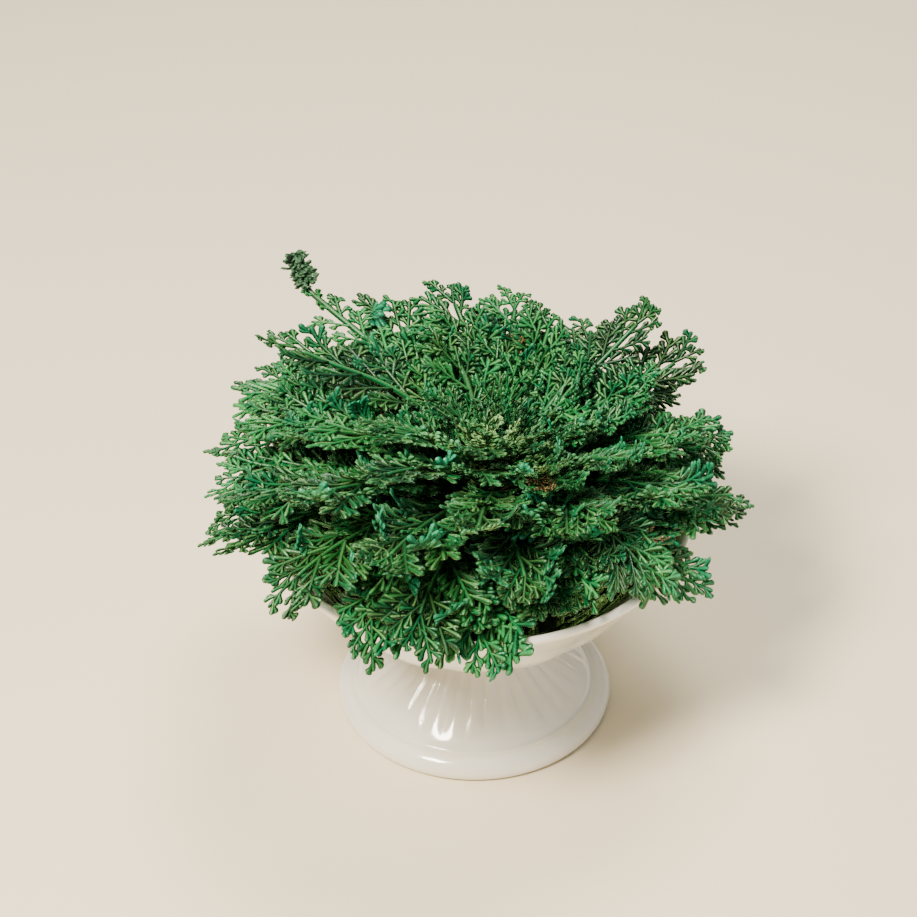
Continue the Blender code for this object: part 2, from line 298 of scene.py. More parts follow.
canopy = {
    "count": 57,
    "stagePower": 1.5,
    "goldenAngle": math.radians(137.508),
    # from the outermost frond (0) to the innermost (1): slopes in degrees, lengths in millimetres
    "stages": (0.0, 0.2, 0.4, 0.6, 0.8, 1.0),
    "startAngle": (24.0, 30.0, 38.0, 48.0, 62.0, 84.0),
    "endAngle": (-28.0, -18.0, -8.0, 0.0, 8.0, 40.0),
    "length": (93.0, 92.0, 88.0, 80.0, 59.0, 27.0),
    "leaflet": (26.0, 26.0, 24.0, 21.0, 17.0, 9.0),
    "bareStem": (0.19, 0.19, 0.18, 0.16, 0.12, 0.08),
    "leafletPitch": 11.5 * mm,
    "rootShare": 0.36,
    "leafletAngle": math.radians(46.0),
    "stemHalf": 1.1 * mm,
    "crownRadius": 13.0 * mm,
    "crownHeight": 90.0 * mm,
    "crownSpread": math.radians(74.0),
    "gap": 0.35 * mm,
    "offset": -1.0 * mm,
    "lean": (0.45, 0.30),
    "leanReach": 0.6,
    "radius": 90.0 * mm,
    # the fronds that stand out: stretch, rise of the tip, turn in degrees, and size of the leaflets
    "strays": {2: (0.95, -3.0 * mm, -4.0, 1.0), 5: (1.07, -7.0 * mm, -1.0, 1.0),
               7: (0.92, -3.0 * mm, 3.0, 1.0), 10: (0.88, -1.0 * mm, 0.0, 1.0),
               12: (0.98, 5.0 * mm, -5.0, 1.0), 15: (0.92, -3.0 * mm, -5.0, 1.0),
               18: (1.08, -9.0 * mm, 0.0, 1.0), 20: (1.06, -6.0 * mm, 0.0, 1.0),
               27: (1.02, 8.0 * mm, 0.0, 1.0), 29: (1.12, 14.0 * mm, 0.0, 1.0),
               35: (1.12, 26.0 * mm, -3.5, 0.6), 37: (1.16, 11.0 * mm, -4.0, 1.0),
               43: (1.28, 10.0 * mm, 2.0, 1.0)},
    # painted shade on the fronds whose backs face away from the light
    "inShade": {27: 0.20, 29: 0.45, 37: 0.25, 43: 0.50},     # darker fronds
    "tipRise": 3.0 * mm,      # of every other frond, up or down
    "tipFrom": 0.6,
    # waves round the canopy: how many times round, how large, and where each starts
    "swells": ((1, 0.046, -0.86), (3, 0.035, 0.7), (5, 0.025, 2.0)),
    "lifts": ((1, 1.6 * mm, 0.0), (3, 1.5 * mm, 2.4), (4, 2.0 * mm, -1.57)),
    "steepness": 0.18,
    "steeper": ((1, -0.12, 0.0), (2, 0.10, -1.57)),
}


# How the full fronds differ. Those in front roll and curl up more. Fronds in front, where the layers shade
# each other, and at the sides are painted darker as shade, and each gets a random darker or lighter tone.
growth = {
    "unevenTurn": 2.5,        # degrees
    "unevenLength": 0.06,
    "unevenLeaflet": 0.08,
    "frontGrows": 4.0,        # to be in front counts more from stage to stage, and in full from 1 / 4.0
    "rolled": (-0.22, 0.34),  # behind, and how much more in front
    "curl": (1.0, 14.0),      # radians to a metre, behind, and how much more in front
    "curlFrom": 0.72,         # share of the length
    # painted shade darkens the fronds in front, by stage, and at the sides, where less light falls;
    # unevenShade is a random tone
    "frontShade": 0.34,
    "shadeByStage": ((0.02, 0.18, 0.85, 0.9), (-0.5, 1.0, 1.0, 0.0)),
    "sideShade": 0.12,
    "unevenShade": 0.15,
}

# The frond whose end has dried into a knot, a crowd of rolled-up leaflets
knot = {
    "frond": 35,
    "from": 0.84,             # share of the length
    "never": 2.0,             # past the end, for every other frond
    "unrolled": 1.14,         # how much longer the frond would be unrolled
    "lifted": 0.25,           # share of the tip's rise that is left
    "curl": 85.0,             # of the rib, in radians to a metre
    "leaflets": 10,
    "end": 0.99,              # share of the length where the last one stands
    "crowdSize": 0.72,        # share of a leaflet
    "swollen": 1.25,
    "neck": 0.12,             # share of the length below the knot that is nearly bare
    "neckSize": 0.35,
    "heading": 0.55,          # share of the usual angle to the rib
    "rollFrom": 0.15,
    "roll": 420.0,            # of its leaflets, in radians to a metre
    "tone": -0.2,
    "age": 0.8,
    "backShown": 0.3,
}


def spread(index, stream):
    # a number from -1 to 1, spread evenly by steps of 1/p and 1/p^2, where p is the plastic number
    return 2.0 * ((0.5 + index * 0.7548776662 + stream * 0.5698402910) % 1.0) - 1.0


def byStage(stage, key):
    # the canopy's value at this place in the spiral, in straight lines from stage to stage
    return np.interp(stage, canopy["stages"], canopy[key])


def frondPlan(index):
    # a full frond, where its solid lies
    stage = ((index + 0.5) / canopy["count"]) ** canopy["stagePower"]
    usual = (1.0, canopy["tipRise"] * spread(index, 4), 0.0, 1.0)
    stretch, rise, turn, fullness = canopy["strays"].get(index, usual)
    direction = index * canopy["goldenAngle"] + math.radians(growth["unevenTurn"] * spread(index, 1) + turn)
    front = max(0.0, -math.sin(direction)) * min(1.0, growth["frontGrows"] * stage)
    length = mm * byStage(stage, "length") * (stretch + growth["unevenLength"] * spread(index, 2))
    leaflet = mm * byStage(stage, "leaflet") * fullness * (1.0 + growth["unevenLeaflet"] * spread(index, 3))
    rolled, rolledMore = growth["rolled"]
    curl, curlMore = growth["curl"]
    # painted shade in front and at the sides, plus a random tone
    shade = growth["frontShade"] * front * np.interp(stage, *growth["shadeByStage"])
    shade = shade + growth["sideShade"] * abs(math.cos(direction)) + growth["unevenShade"] * spread(index, 9)
    knotted = index == knot["frond"]
    return {
        "stage": stage,
        "direction": direction,
        "length": length * knot["unrolled"] if knotted else length,
        "leaflet": leaflet,
        "bare": byStage(stage, "bareStem"),
        "rise": rise * knot["lifted"] if knotted else rise,
        "rolled": rolled + rolledMore * front,
        "curlFrom": knot["from"] if knotted else growth["curlFrom"],
        "curl": knot["curl"] if knotted else curl + curlMore * front,
        "knotFrom": knot["from"] if knotted else knot["never"],
        "girth": 1.0,
        "shade": shade + canopy["inShade"].get(index, 0.0),
        "seed": index,
    }


# Fronds that grow in the spaces between the full ones: how many, from and to which place in the spiral,
# how long and how leafy beside a full frond there, how far up the stem the leaflets start, how much they
# roll up, how stout the stems are, from where and how the frond itself curls, in radians to a metre, and
# how dark it is
fillFronds = {
    "shortFrond": {"count": 46, "places": (8.0, 56.0), "turn": 1.20, "length": 0.78, "leaflet": 0.85,
                   "bare": 0.30, "rolled": 0.10, "girth": 1.0, "curlFrom": 0.72, "curl": 4.0,
                   "shade": 0.15, "seed": 500},
    "heartFrond": {"count": 24, "places": (36.0, 56.4), "turn": 0.40, "length": 0.72, "leaflet": 0.95,
                   "bare": 0.05, "rolled": 0.05, "girth": 0.9, "curlFrom": 0.72, "curl": 4.0,
                   "shade": 0.15, "seed": 600},
    "lowFrond": {"count": 13, "places": (0.2, 9.0), "turn": 2.20, "length": 0.84, "leaflet": 0.90,
                 "bare": 0.30, "rolled": -0.20, "girth": 1.0, "curlFrom": 0.72, "curl": 4.0,
                 "shade": 0.15, "seed": 700},
    "dryFrond": {"count": 9, "places": (3.0, 44.0), "turn": 0.90, "length": 0.80, "leaflet": 0.40,
                 "bare": 0.25, "rolled": 0.90, "girth": 0.62, "curlFrom": 0.72, "curl": 4.0,
                 "shade": 0.15, "seed": 800},
    "budFrond": {"count": 8, "places": (54.0, 56.4), "turn": 2.60, "length": 0.80, "leaflet": 0.75,
                 "bare": 0.06, "rolled": 0.30, "girth": 0.85, "curlFrom": 0.2, "curl": 62.0,
                 "shade": 0.35, "seed": 900},
}
unevenFill = {
    "turn": math.radians(6.0),
    "length": 0.12,
    "rise": (2.0, 3.0),       # millimetres, and how much more or less
    "shade": 0.12,
}


def fillPlan(family, index):
    # half a step on from a full frond, so that it lies in the gap between two sheets
    form = fillFronds[family]
    low, high = form["places"]
    place = low + index * (high - low) / (form["count"] - 1)
    stage = min(((place + 1.0) / canopy["count"]) ** canopy["stagePower"], 1.0)
    rise, riseMore = unevenFill["rise"]
    direction = index * canopy["goldenAngle"] + form["turn"] + unevenFill["turn"] * spread(index, 6)
    plan = {key: form[key] for key in ("bare", "rolled", "girth", "curlFrom", "curl")}
    plan.update({
        "stage": stage,
        "direction": direction,
        "length": mm * byStage(stage, "length") * (form["length"] + unevenFill["length"] * spread(index, 7)),
        "leaflet": mm * byStage(stage, "leaflet") * form["leaflet"],
        "rise": mm * (rise + riseMore * spread(index, 8)),
        "knotFrom": knot["never"],
        "shade": form["shade"] + unevenFill["shade"] * spread(index, 9),
        "seed": form["seed"] + index,
    })
    return plan


def slowWaves(angle, waves):
    # the sum over all waves of size * sin(count * angle + start)
    return sum(size * np.sin(count * angle + start) for count, size, start in waves)


def unevenCanopy(x, y, z):
    # leans the inner fronds, steepens those in front, and lets the outline swell and rise in slow waves
    angle = np.arctan2(y, x)
    reach = np.hypot(x, y) / canopy["radius"]
    above = np.clip(z - canopy["crownHeight"], 0.0, None)
    inner = above * np.exp(-(reach / canopy["leanReach"]) ** 2)
    swell = 1.0 + reach * slowWaves(angle, canopy["swells"])
    steeper = reach * (canopy["steepness"] + slowWaves(angle, canopy["steeper"]))
    return np.stack((canopy["offset"] + x * swell + canopy["lean"][0] * inner,
                     y * swell + canopy["lean"][1] * inner,
                     z + above * steeper + reach ** 2 * slowWaves(angle, canopy["lifts"])), axis=-1)


def bladePoint(plan, along, across):
    # a point of the frond's sheet: the rib is an arc whose slope turns evenly, carried round the plant's axis
    stage = plan["stage"]
    start = np.radians(byStage(stage, "startAngle"))
    end = np.radians(byStage(stage, "endAngle"))
    turn = (end - start) * along / (mm * byStage(stage, "length"))
    chord = along * np.sinc(turn / (2.0 * np.pi))
    middle = start + 0.5 * turn
    foot = canopy["crownRadius"] + canopy["gap"]
    seat = canopy["crownSpread"] * stage
    radius = foot * np.cos(seat) + chord * np.cos(middle)
    height = canopy["crownHeight"] + foot * np.sin(seat) + chord * np.sin(middle)
    angle = plan["direction"] + across / radius
    tip = np.clip(along / plan["length"] - canopy["tipFrom"], 0.0, None) / (1.0 - canopy["tipFrom"])
    return unevenCanopy(radius * np.cos(angle), radius * np.sin(angle), height + plan["rise"] * tip ** 2)


def onBlade(plan, flat):
    # a flat point (along, across, rise) set on the sheet and lifted along its normal
    along, across, rise = flat[..., 0], flat[..., 1], flat[..., 2]
    step = 0.05 * mm
    forward = bladePoint(plan, along + step, across) - bladePoint(plan, along - step, across)
    sideways = bladePoint(plan, along, across + step) - bladePoint(plan, along, across - step)
    normal = np.cross(forward, sideways)
    normal /= np.linalg.norm(normal, axis=-1, keepdims=True)
    return bladePoint(plan, along, across) + rise[..., None] * normal


# The fronds: what one is made of

# Where a value has two rows, the first holds places, as shares of the way along, and the second the
# values there. "half" is half a stem's width, in millimetres.
ribForm = {
    "half": ((0.0, 0.5, 1.0), (1.75, 1.60, 1.10)),
    "stations": 24,
    "sway": (0.3 * mm, 9.0),      # how far, and how fast in radians from end to end
    "ripple": (0.05, 40.0),       # of its width
    "tone": 0.4,
    # strength of the painted highlight along the rib's ridge
    "ridgeHighlight": 0.2,
    "woody": (0.85, 2.2),         # age at its foot, and how fast it falls
}

leafletForm = {
    "size": ((0.0, 0.35, 0.7, 1.0), (0.62, 1.0, 0.88, 0.45)),
    "unevenSize": 0.05,
    "endRoom": 0.35,              # of a leaflet, kept free before the frond's end
    "fewest": 3,
    "stagger": 0.25,              # left and right leaflets leave the rib in turn
    "last": (0.45, 0.6 * mm),     # the one that ends the rib: share of a leaflet, and a little more
    "opening": (1.10, 0.2),       # share of the leaflet's angle, and how much it closes towards the tip
    "unevenHeading": 0.05,
    "rootOut": 0.4,               # share of the stem's half width
    "rollSpread": 0.5,
    "rollTowardsTip": (0.5, 0.6),
    "rollFrom": (0.42, 0.68),     # share of a leaflet
    "roll": (130.0, 290.0),       # radians to a metre
    "tilt": (0.16, 0.13),
    "cup": (0.3, 1.1),            # millimetres
    "seat": 0.25 * mm,            # above the rib's middle
    "backTurn": 1.6,              # rolled this far in radians, a stem shows only its back
    "axisHalf": ((0.0, 0.1, 0.2, 0.3, 0.4, 0.5, 0.6, 0.7, 0.8, 0.92, 0.98, 1.0),
                 (1.06, 1.12, 1.02, 1.08, 0.98, 1.02, 0.92, 0.92, 0.98, 1.22, 0.94, 0.30)),
    "axisBend": 0.24,             # towards the frond's tip
    "axisReach": 1.08,
    "axisGirth": (20.0 * mm, 0.75, 1.05),     # the size at which it is 1, the least and the most
    # strength of the painted highlight along the ridge of a leaflet's axis
    "axisRidgeHighlight": 0.35,
}

branchletForm = {
    "half": ((0.0, 0.32, 0.62, 0.82, 0.94, 1.0), (0.68, 0.72, 0.92, 1.16, 0.94, 0.30)),
    "pitch": 2.55 * mm,           # along a leaflet, left and right in turn
    "rows": (3, 10),
    "firstRow": 0.85,
    "lastRow": 0.7,
    "unevenRow": 0.15,
    "crowding": 0.78,             # under 1, they stand closer towards the end, which makes a small fan of it
    "length": ((0.0, 0.35, 1.0), (0.36, 0.44, 0.30)),
    "unevenLength": 0.10,
    "girth": (6.2 * mm, 0.94, 1.18),
    "unevenGirth": 0.06,
    "unevenLift": 0.45,           # millimetres at the end
    "angle": math.radians(40.0),
    "opening": ((0.0, 0.6, 1.0), (1.05, 0.92, 1.12)),
    "unevenAngle": 0.09,
    "closing": 0.34,              # share of that angle lost towards the branchlet's end
    # the most that the painted highlight along a branchlet's or lobe's ridge may be
    "ridgeHighlightStrength": 0.8,
}

lobeForm = {
    "half": ((0.0, 0.36, 0.68, 0.89, 1.0), (0.62, 0.80, 1.12, 0.96, 0.30)),
    "from": 0.30,                 # share of the branchlet
    "unevenFrom": 0.06,
    "angle": math.radians(35.0),
    "unevenAngle": 0.2,
    "closing": 0.2,
    "length": (0.50, 0.66),
    "girth": 0.96,
    "drop": (0.1, 0.7),           # millimetres below the branchlet at its end
}

spray = {
    "flatness": 0.72,
    "scalePitch": 1.15 * mm,      # one pair of the tiny leaves that clothe a stem, drawn a little coarse
    "arch": 4.0,                  # metres to a square metre: a frond hangs at its edges
    "toneShares": (0.55, 0.45),   # of the leaflet, and of the stem itself
    "seed": 4711,
}


def unit(vectors):
    # each vector over its length
    return vectors / np.maximum(np.linalg.norm(vectors, axis=-1, keepdims=True), 1e-12)


def stripTubes(path, normal, halfWidth, reach, age):
    # three-sided stems: right edge, ridge and left edge round each path, flat below, closed at the ends
    forward = unit(np.gradient(path, axis=1))
    left = unit(np.cross(normal, forward))
    up = np.cross(forward, left)
    half = halfWidth[..., None]
    rings = np.stack((path - half * left, path + spray["flatness"] * half * up, path + half * left), axis=2)
    place = np.zeros(rings.shape)
    place[..., 0] = (reach / spray["scalePitch"])[..., None]     # how far along, in pairs of tiny leaves
    place[..., 1] = (1.0, 0.0, 1.0)                              # 0 on the ridge, 1 at both edges
    place[..., 2] = age[..., None]
    return rings, place


def tubeFaces(tubes, stations, first):
    # quads along each stem and a triangle at each end, all facing outwards
    base = first + np.arange(tubes)[:, None, None] * stations * 3
    station, corner = np.arange(stations - 1)[:, None], np.arange(3)
    here, after = station * 3 + corner, station * 3 + (corner + 1) % 3
    quads = (base + np.stack((here, here + 3, after + 3, after), axis=-1).reshape(1, -1, 4)).reshape(-1, 4)
    ends = base + np.array(((0, 1, 2), tuple(3 * (stations - 1) + c for c in (2, 1, 0))))[None]
    return quads.tolist() + ends.reshape(-1, 3).tolist()


def leafletPlaces(plan, draw):
    # where the leaflets leave the rib, their heading, length and side, how they tilt, cup and roll up
    form, length, leaflet = leafletForm, plan["length"], plan["leaflet"]
    first = plan["bare"] * length
    bladed = length - first - form["endRoom"] * leaflet
    pairs = max(form["fewest"], round(bladed / canopy["leafletPitch"]))
    pitch = bladed / (pairs + 0.5)
    side = np.repeat((-1.0, 1.0), pairs)
    k = np.tile(np.arange(pairs), 2)
    stagger = form["stagger"] + form["stagger"] * side
    along = first + (stagger + k + 0.5 * canopy["rootShare"]) * pitch
    size = leaflet * np.interp((k + 0.5) / pairs, *form["size"])
    ribEnd = first + (pairs - 1.0 + form["stagger"] + canopy["rootShare"]) * pitch
    if plan["knotFrom"] < 1.0:
        crowd = np.linspace(plan["knotFrom"], knot["end"], knot["leaflets"])
        side = np.append(side, np.resize((1.0, -1.0), len(crowd)))
        along = np.append(along, crowd * length)
        size = np.append(size, np.full(len(crowd), knot["crowdSize"] * leaflet))
        ribEnd = knot["end"] * length
    # the leaflet that ends the rib goes last
    side = np.append(side, 1.0)
    along = np.append(along, ribEnd)
    count = len(side)
    share = along / length
    opening, closing = form["opening"]
    heading = side * (canopy["leafletAngle"] * (opening - closing * share)
                      + form["unevenHeading"] * draw.standard_normal(count))
    heading[-1] = 0.0
    lastShare, lastMore = form["last"]
    size = np.append(size * (1.0 + form["unevenSize"] * draw.standard_normal(count - 1)),
                     lastShare * leaflet + lastMore)
    rollMore, rollMiddle = form["rollTowardsTip"]
    rolls = draw.normal(plan["rolled"], form["rollSpread"], count) + rollMore * (share - rollMiddle)
    rolls = np.clip(rolls, 0.0, 1.0)
    knotted = share > plan["knotFrom"]
    inNeck = share > plan["knotFrom"] - knot["neck"]
    size = np.where(knotted, knot["swollen"] * size, np.where(inNeck, knot["neckSize"] * size, size))
    return {
        "along": along,
        "across": side * form["rootOut"] * canopy["stemHalf"],
        "heading": np.where(knotted, knot["heading"] * heading, heading),
        "size": size,
        "side": side,
        "tilt": draw.normal(*form["tilt"], count) * side,
        "cup": draw.normal(*form["cup"], count) * mm,
        "rollFrom": np.where(knotted, knot["rollFrom"], draw.uniform(*form["rollFrom"], count)),
        "roll": np.where(knotted, knot["roll"], np.maximum(rolls * draw.uniform(*form["roll"], count), 1.0)),
        "tone": np.where(knotted, knot["tone"], draw.random(count)),
        "age": knot["age"] * knotted,
        "backShown": np.where(knotted, knot["backShown"], 1.0),
    }, ribEnd


def setOnFrond(fans, which, forward, leftward, lift):
    # a leaflet's own points: cupped, its end rolled upwards, tilted about its axis, then set on the rib
    part = {name: values[which][:, None] for name, values in fans.items()}
    bendStart = part["rollFrom"] * part["size"]
    turn = np.clip(forward - bendStart, 0.0, None) * part["roll"]
    ahead = np.minimum(forward, bendStart) + np.sin(turn) / part["roll"] - lift * np.sin(turn)
    rise = (1.0 - np.cos(turn)) / part["roll"] + part["cup"] * (forward / part["size"]) ** 2
    rise = rise + lift * np.cos(turn) + leafletForm["seat"]
    path = np.stack((ahead, leftward * np.cos(part["tilt"]) - rise * np.sin(part["tilt"]),
                     leftward * np.sin(part["tilt"]) + rise * np.cos(part["tilt"])), axis=-1)
    normal = np.stack((-np.sin(turn), -np.cos(turn) * np.sin(part["tilt"]),
                       np.cos(turn) * np.cos(part["tilt"])), axis=-1)
    cosine, sine = np.cos(part["heading"]), np.sin(part["heading"])
    for vectors in (path, normal):
        ahead, left = vectors[..., 0].copy(), vectors[..., 1].copy()
        vectors[..., 0] = ahead * cosine - left * sine
        vectors[..., 1] = ahead * sine + left * cosine
    path[..., 0] += part["along"]
    path[..., 1] += part["across"]
    path[..., 2] -= spray["arch"] * path[..., 1] ** 2
    return path, normal, part["backShown"] * np.clip(turn / leafletForm["backTurn"], 0.0, 1.0)


def frondParts(plan):
    # every stem of one frond as paths on its flat sheet: rib, leaflet axes, their branchlets and lobes
    draw = np.random.default_rng(spray["seed"] + plan["seed"])
    fans, ribEnd = leafletPlaces(plan, draw)
    count = len(fans["size"])
    share = np.linspace(0.0, 1.0, ribForm["stations"])[None]
    sway, swaying = ribForm["sway"]
    path = np.stack((share * ribEnd, sway * np.sin(swaying * share + plan["seed"]), 0.0 * share), axis=-1)
    ripple, rippling = ribForm["ripple"]
    half = mm * np.interp(share, *ribForm["half"]) * (1.0 + ripple * np.cos(rippling * share))
    footAge, fall = ribForm["woody"]
    parts = [{
        "path": path, "normal": np.broadcast_to((0.0, 0.0, 1.0), path.shape), "half": plan["girth"] * half,
        "reach": share * ribEnd, "rolled": 0.0 * share, "tone": np.array((ribForm["tone"],)),
        "ridgeHighlight": np.array((ribForm["ridgeHighlight"],)), "age": np.clip(footAge - fall * share, 0.0, 1.0),
    }]

    def addStems(profile, which, startForward, startLeft, angle, closing, length, thick, lift, ridgeHighlightStrength):
        # a path whose heading closes evenly along it: the middle heading so far gives each point
        share, half = (np.array(values) for values in profile)
        middle = angle[:, None] * (1.0 - 0.5 * closing * share)
        forward = startForward[:, None] + length[:, None] * share * np.cos(middle)
        leftward = startLeft[:, None] + length[:, None] * share * np.sin(middle)
        path, normal, rolled = setOnFrond(fans, which, forward, leftward, lift[:, None] * share)
        fromLeaflet, fromStem = spray["toneShares"]
        parts.append({
            "path": path, "normal": normal, "half": mm * half * plan["girth"] * thick[:, None],
            "reach": startForward[:, None] + length[:, None] * share, "rolled": rolled,
            # the frond's painted shade darkens the stems' tone
            "tone": fromLeaflet * fans["tone"][which] + fromStem * draw.random(len(which)) - plan["shade"],
            # some stems, at random, get a painted highlight along the ridge
            "ridgeHighlight": draw.random(len(which)) ** 2 * ridgeHighlightStrength,
            "age": np.clip(fans["age"][which][:, None] + 0.0 * share, 0.0, 1.0),
        })

    everyFan = np.arange(count)
    size = fans["size"]
    bend = -leafletForm["axisBend"] * fans["side"]
    fullSize, least, most = leafletForm["axisGirth"]
    addStems(leafletForm["axisHalf"], everyFan, 0.0 * size, 0.0 * size, bend, 0.0,
             leafletForm["axisReach"] * size, np.clip(size / fullSize, least, most), 0.0 * size,
             leafletForm["axisRidgeHighlight"])

    form = branchletForm
    rows = np.clip(np.round(size / form["pitch"]), *form["rows"]).astype(int)
    which = np.repeat(everyFan, rows)
    order = np.arange(len(which)) - np.repeat(np.cumsum(rows) - rows, rows)
    total = len(which)
    row = order + form["firstRow"] + form["unevenRow"] * draw.standard_normal(total)
    at = (row / (rows[which] + form["lastRow"])) ** form["crowding"]
    hand = np.where(order % 2 == 0, 1.0, -1.0) * fans["side"][which]
    length = size[which] * np.interp(at, *form["length"]) * draw.normal(1.0, form["unevenLength"], total)
    fullSize, least, most = form["girth"]
    thick = np.clip(length / fullSize, least, most) * draw.normal(1.0, form["unevenGirth"], total)
    lift = mm * draw.normal(0.0, form["unevenLift"], total)
    rootForward = at * size[which] * np.cos(bend[which])
    rootLeft = at * size[which] * np.sin(bend[which])
    opening = form["angle"] * np.interp(at, *form["opening"])
    angle = bend[which] + hand * (opening + form["unevenAngle"] * draw.standard_normal(total))
    addStems(form["half"], which, rootForward, rootLeft, angle, form["closing"], length, thick, lift,
             form["ridgeHighlightStrength"])

    # each branchlet forks: the lobe leaves on its outer side and ends about as far out
    lobe = lobeForm
    along = lobe["from"] + lobe["unevenFrom"] * draw.standard_normal(total)
    middle = angle * (1.0 - 0.5 * form["closing"] * along)
    forkForward = rootForward + length * along * np.cos(middle)
    forkLeft = rootLeft + length * along * np.sin(middle)
    turnOut = hand * lobe["angle"] * draw.normal(1.0, lobe["unevenAngle"], total)
    lobeAngle = angle * (1.0 - form["closing"] * along) + turnOut
    addStems(lobe["half"], which, forkForward, forkLeft, lobeAngle, lobe["closing"],
             length * draw.uniform(*lobe["length"], total), lobe["girth"] * thick,
             lift - mm * draw.uniform(*lobe["drop"], total), form["ridgeHighlightStrength"])
    return parts


def curlEnd(plan, flat):
    # past the share where the curl starts, the sheet rolls upwards in an arc, all its stems with it
    start = plan["curlFrom"] * plan["length"]
    turn = np.clip(flat[..., 0] - start, 0.0, None) * plan["curl"]
    rise = flat[..., 2]
    curled = np.empty_like(flat)
    curled[..., 0] = np.minimum(flat[..., 0], start) + np.sin(turn) / plan["curl"] - rise * np.sin(turn)
    curled[..., 1] = flat[..., 1]
    curled[..., 2] = (1.0 - np.cos(turn)) / plan["curl"] + rise * np.cos(turn)
    return curled


# the stems' own colour from dark to light, then of warm patches, painted highlights on ridges,
# light-coloured margins with a painted highlight along them, rolled-up backs and age
mossColours = {
    "spikemossGreen": {
        "stops": ((0.18, "#002e16"), (0.40, "#004826"), (0.62, "#08703a"), (0.86, "#3fa458")),
        "patch": "#2a762a", "ridge": "#9ad67c", "paleMarginAndHighlight": "#b2e68c", "back": "#1d8c5e", "aged": "#1f4636",
    },
    "driedSpikemoss": {
        "stops": ((0.18, "#3d331c"), (0.40, "#6a5a35"), (0.62, "#8d7e4e"), (0.86, "#b0a470")),
        "patch": "#7d5f36", "ridge": "#cbb98a", "paleMarginAndHighlight": "#bda878", "back": "#7c6a45", "aged": "#5a4526",
    },
}


def spikemoss(name):
    # spikemoss: stems clothed in tiny overlapping leaves, waxy, with a painted highlight on the ridges of
    # some stems and along the thin light-coloured margins, each tiny leaf darker at its foot as painted
    # shade, blue-green where an end rolls up and shows its back, duller at the woody foot of a rib
    colours = mossColours[name]
    material, tree, shader = newMaterial(name, {"IOR": 1.45})
    place = addNode(tree, "ShaderNodeAttribute", {"attribute_name": "place"})
    tint = addNode(tree, "ShaderNodeAttribute", {"attribute_name": "tint"})
    stem = addNode(tree, "ShaderNodeSeparateXYZ", inputs={"Vector": place.outputs["Vector"]})
    share = addNode(tree, "ShaderNodeSeparateColor", inputs={"Color": tint.outputs["Color"]})
    # leaf pattern: chevrons that run back from the ridge, one for each pair of tiny leaves
    slant = addNode(tree, "ShaderNodeMath", {"operation": "MULTIPLY_ADD"},
                    {0: stem.outputs["Y"], 1: -0.8, 2: stem.outputs["X"]})
    tooth = addNode(tree, "ShaderNodeMath", {"operation": "FRACT"}, {0: slant.outputs[0]})
    objectPlace = addNode(tree, "ShaderNodeTexCoord").outputs["Object"]
    # clouds of about 14 mm
    cloud = addNode(tree, "ShaderNodeTexNoise", inputs={"Vector": objectPlace, "Scale": 70.0, "Detail": 3.0})
    toneShare = addNode(tree, "ShaderNodeMath", {"operation": "MULTIPLY"},
                        {0: share.outputs["Green"], 1: 0.55})
    mixed = addNode(tree, "ShaderNodeMath", {"operation": "MULTIPLY_ADD"},
                    {0: cloud.outputs["Fac"], 1: 0.55, 2: toneShare.outputs[0]})
    colour = addNode(tree, "ShaderNodeValToRGB", {"stops": colours["stops"]},
                     {"Fac": mixed.outputs[0]}).outputs["Color"]
    # patches of about 30 mm where the growth is yellower
    patch = addNode(tree, "ShaderNodeTexNoise", inputs={"Vector": objectPlace, "Scale": 33.0, "Detail": 2.0})
    warm = addNode(tree, "ShaderNodeMapRange",
                   inputs={"Value": patch.outputs["Fac"], "From Min": 0.42, "From Max": 0.72, "To Max": 0.5})
    # painted highlight along the ridge of some stems, as strong as the red share of the stem's tint
    ridge = addNode(tree, "ShaderNodeMapRange", {"interpolation_type": "SMOOTHSTEP"},
                    {"Value": stem.outputs["Y"], "From Max": 0.5, "To Min": 0.6, "To Max": 0.0})
    ridgeHighlightMask = addNode(tree, "ShaderNodeMath", {"operation": "MULTIPLY"},
                        {0: ridge.outputs["Result"], 1: share.outputs["Red"]})
    # light-coloured leaf margins, with a painted highlight along the stems' edges
    paleMarginAndHighlight = addNode(tree, "ShaderNodeMapRange", {"interpolation_type": "SMOOTHSTEP"},
                     {"Value": stem.outputs["Y"], "From Min": 0.76, "From Max": 1.0, "To Max": 0.62})
    for factor, other in ((warm.outputs["Result"], "patch"), (ridgeHighlightMask.outputs[0], "ridge"),
                          (paleMarginAndHighlight.outputs["Result"], "paleMarginAndHighlight"), (share.outputs["Blue"], "back"),
                          (stem.outputs["Z"], "aged")):
        colour = addNode(tree, "ShaderNodeMix", {"data_type": "RGBA"},
                         {"Factor": factor, "A": colour, "B": linearColour(colours[other])}).outputs["Result"]
    # each tiny leaf goes from dark at its foot, painted shade where the leaf before overlaps it, to light at
    # its light-coloured rim
    scaleShadeAndEdge = addNode(tree, "ShaderNodeMapRange",
                   inputs={"Value": tooth.outputs[0], "To Min": 0.6, "To Max": 1.15})
    shaded = addNode(tree, "ShaderNodeVectorMath", {"operation": "SCALE"},
                     {"Vector": colour, "Scale": scaleShadeAndEdge.outputs["Result"]})
    rough = addNode(tree, "ShaderNodeMapRange",
                    inputs={"Value": tooth.outputs[0], "To Min": 0.48, "To Max": 0.26})
    bump = addNode(tree, "ShaderNodeBump",
                   inputs={"Strength": 0.8, "Distance": 0.0004, "Height": tooth.outputs[0]})
    tree.links.new(shaded.outputs["Vector"], shader.inputs["Base Color"])
    tree.links.new(rough.outputs["Result"], shader.inputs["Roughness"])
    tree.links.new(bump.outputs["Normal"], shader.inputs["Normal"])
    return material


